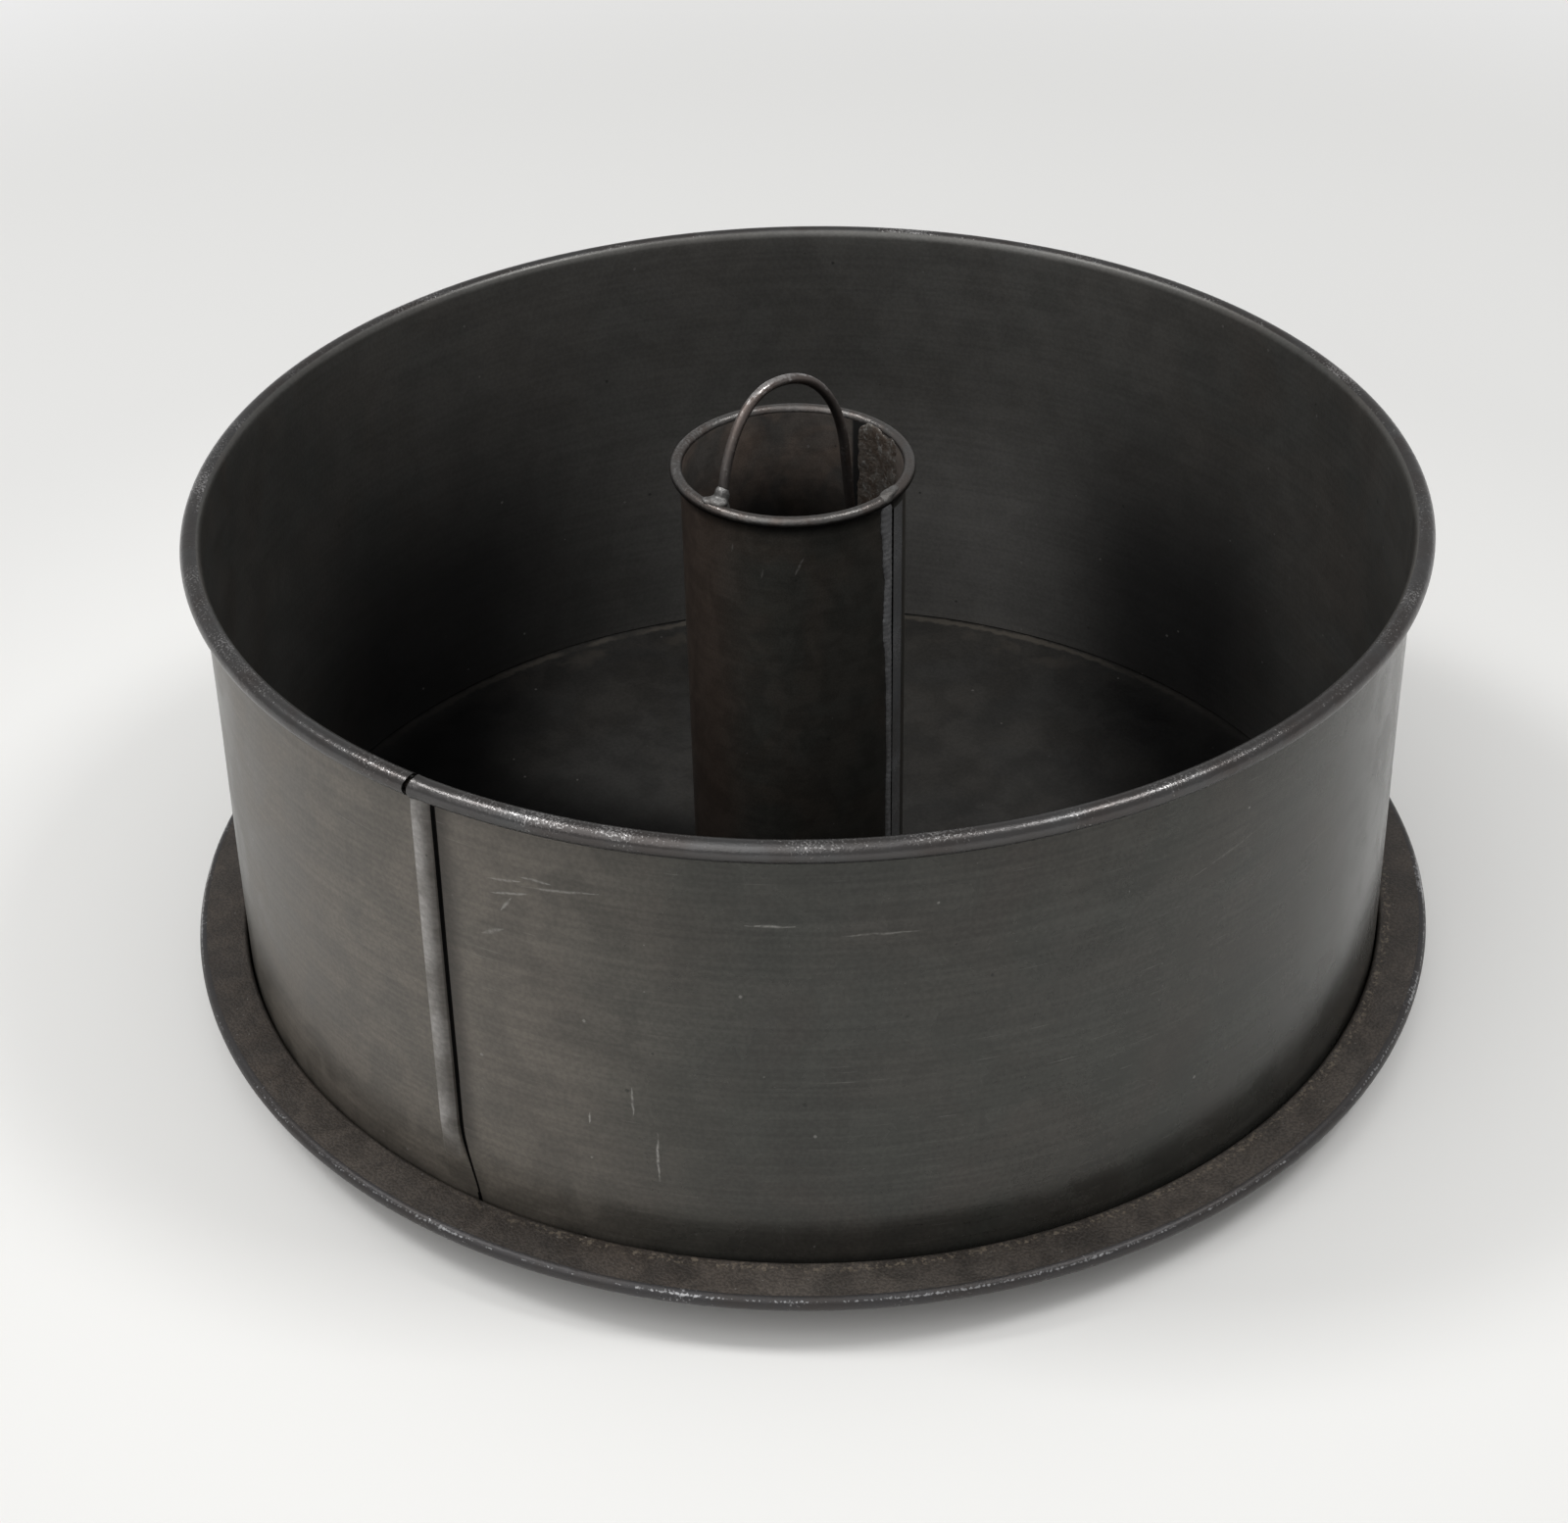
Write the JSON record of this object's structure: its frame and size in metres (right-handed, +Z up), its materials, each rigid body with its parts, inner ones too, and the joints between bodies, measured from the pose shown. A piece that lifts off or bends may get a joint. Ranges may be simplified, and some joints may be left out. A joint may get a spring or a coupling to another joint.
{
  "type": "tube cake pan",
  "caption": "Round two-piece tube cake pan in darkened tinned steel: a loose side hoop nests in a shallow flanged base dish with a soldered centre tube and a wire lifting loop.",
  "frame": {"origin": "middle of the base dish's underside, on the surface that the pan stands on", "axes": "+Z up along the axis of the hoop and the base; the lifting loop lies in the Y-Z plane, with its front leg towards -Y"},
  "size_m": [0.2538, 0.2538, 0.1258],
  "materials": {
    "hoop_sheet": "darkened tinned steel, satin, scuffed",
    "base_sheet": "browned tinned steel, dull, worn bright at the edge",
    "tube_sheet": "dark baked-on tinned steel with brown patches",
    "edge_wire": "plain steel wire",
    "loop_wire": "worn steel wire, browned",
    "solder": "dull grey soft solder"
  },
  "bodies": {
    "base": {"base_dish": "base_sheet", "base_rim_wire": "edge_wire", "centre_tube": "tube_sheet", "tube_rim_wire": "edge_wire", "lifting_loop": "loop_wire", "loop_solder_front": "solder", "loop_solder_back": "solder", "tube_rim_solder": "solder", "tube_seam_solder": "solder", "tube_foot_solder": "solder"},
    "hoop": {"side_wall": "hoop_sheet", "rim_wire": "edge_wire"}
  },
  "joints": [
    {"name": "hoop_lift", "type": "slide", "parent": "base", "child": "hoop", "axis": [0, 0, 1], "range_m": [0, 0.14]}
  ]
}
